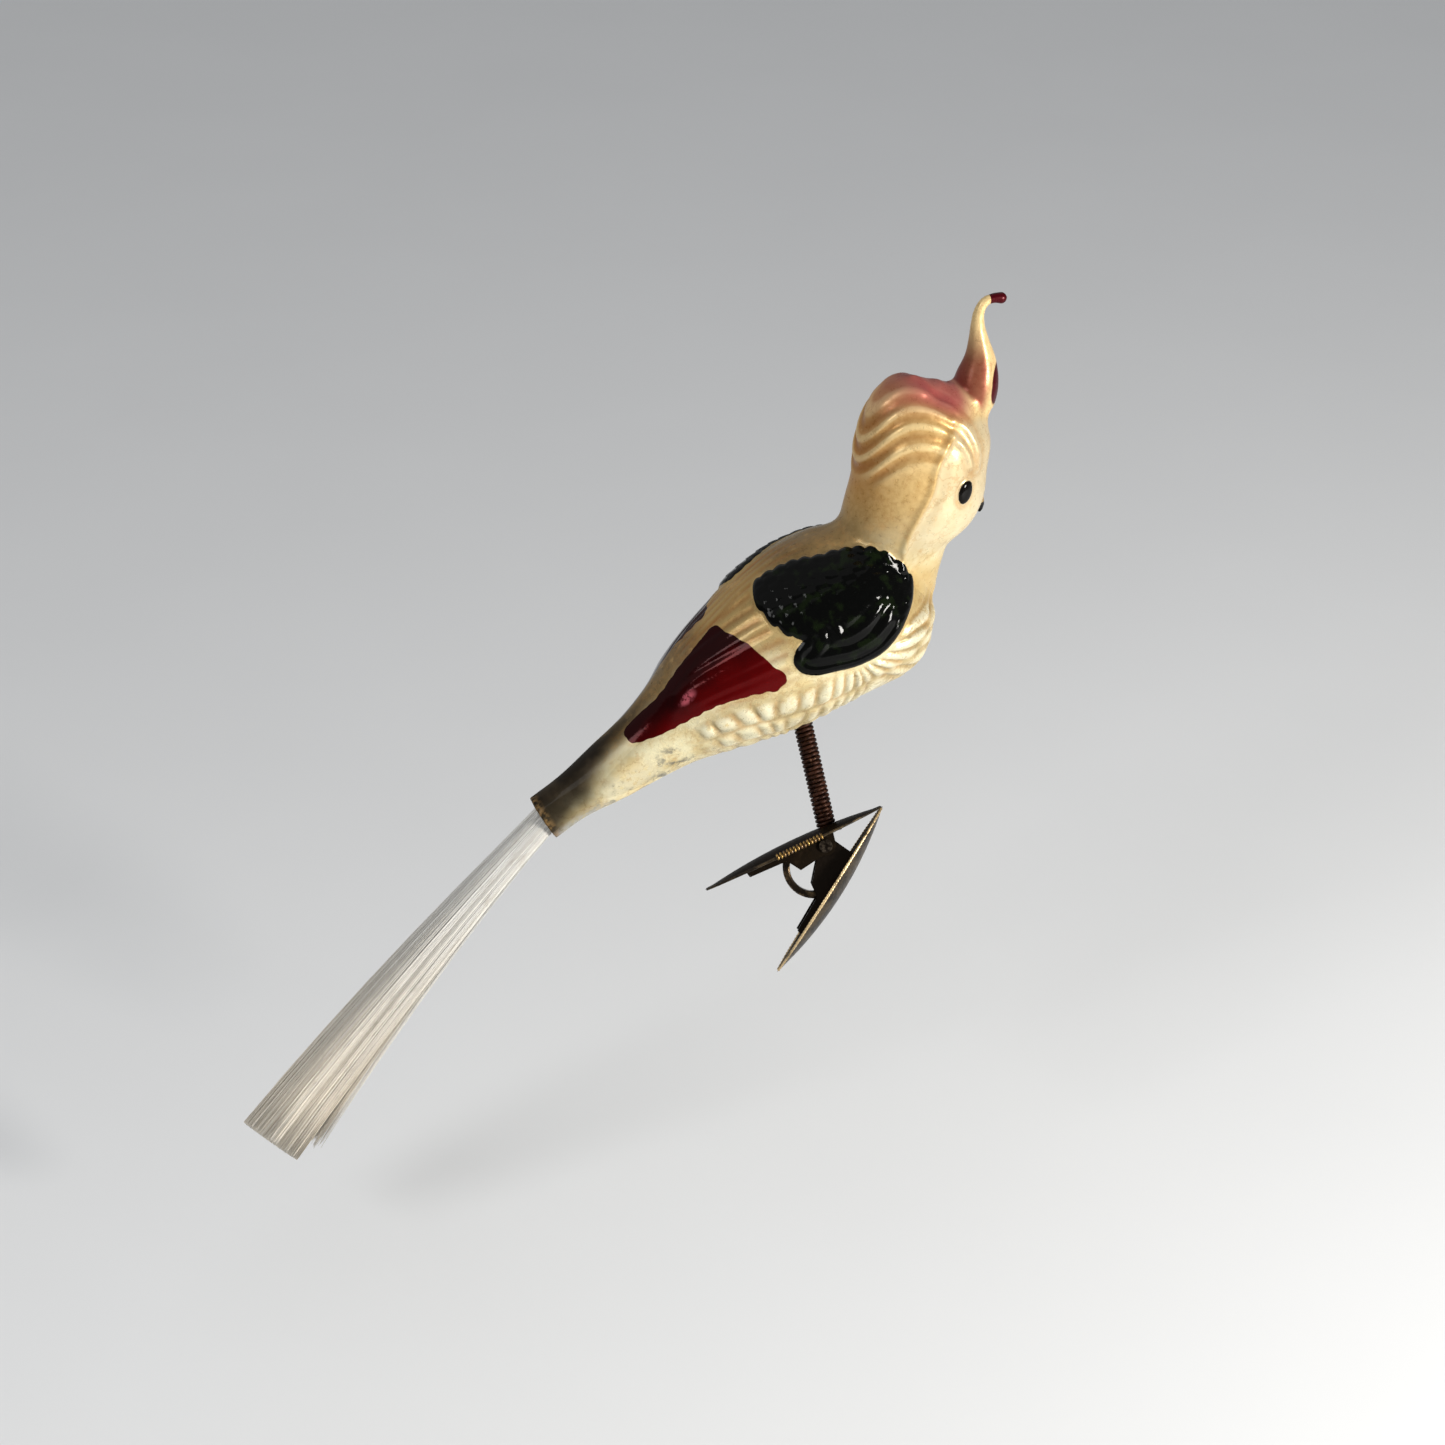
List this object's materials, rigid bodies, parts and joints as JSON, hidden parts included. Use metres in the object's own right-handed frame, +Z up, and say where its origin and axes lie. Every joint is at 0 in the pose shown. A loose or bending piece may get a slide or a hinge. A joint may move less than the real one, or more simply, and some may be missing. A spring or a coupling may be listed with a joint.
{
  "type": "clip-on glass bird ornament",
  "caption": "Blown-glass cockatoo ornament with a curled crest and a spun-glass brush tail, standing on a coil-spring leg above a sprung tin clip.",
  "frame": {"origin": "the clip's grip point, between the tips of its two jaws", "axes": "+X forward, where the beak points; +Y the bird's left; +Z up when the bird perches"},
  "size_m": [0.1179, 0.032, 0.126],
  "materials": {
    "silvered_glass": "gloss",
    "spun_glass": "satin",
    "glue": "matte",
    "plaster": "matte",
    "spring_wire": "satin",
    "solder": "satin",
    "tin_plate": "satin",
    "pin_steel": "satin",
    "strip_steel": "satin"
  },
  "bodies": {
    "clip": {"clip_upper_jaw": "tin_plate", "clip_pivot_pin": "pin_steel", "clip_spring": "strip_steel", "leg_solder": "solder", "leg_coil_lower": "spring_wire"},
    "lower_jaw": {"clip_lower_jaw": "tin_plate"},
    "coil": {"leg_coil_middle": "spring_wire"},
    "bird": {"glass_body": "silvered_glass", "tail_brush": "spun_glass", "tail_glue": "glue", "leg_plaster": "plaster", "leg_coil_upper": "spring_wire"}
  },
  "joints": [
    {"name": "jaw_open", "type": "hinge", "parent": "clip", "child": "lower_jaw", "pos_m": [-0.00917, -0.00008, -0.00517], "axis": [0.2692, 0.8286, -0.4909], "range_deg": [0, 30], "stiffness_Nm_per_rad": 0.03, "springref_deg": -40.11, "deforming": ["clip_spring"]},
    {"name": "bird_nod", "type": "hinge", "parent": "clip", "child": "coil", "pos_m": [-0.00905, 0.00518, 0.00378], "axis": [-0.2692, -0.8286, 0.4909], "range_deg": [-12, 12], "stiffness_Nm_per_rad": 0.008, "springref_deg": -4.03, "deforming": ["leg_coil_lower", "leg_coil_middle"]},
    {"name": "bird_sway", "type": "hinge", "parent": "coil", "child": "bird", "pos_m": [-0.0094, 0.00791, 0.00819], "axis": [0.9608, -0.1961, 0.196], "range_deg": [-12, 12], "stiffness_Nm_per_rad": 0.008, "springref_deg": 0.85, "deforming": ["leg_coil_upper"]}
  ]
}
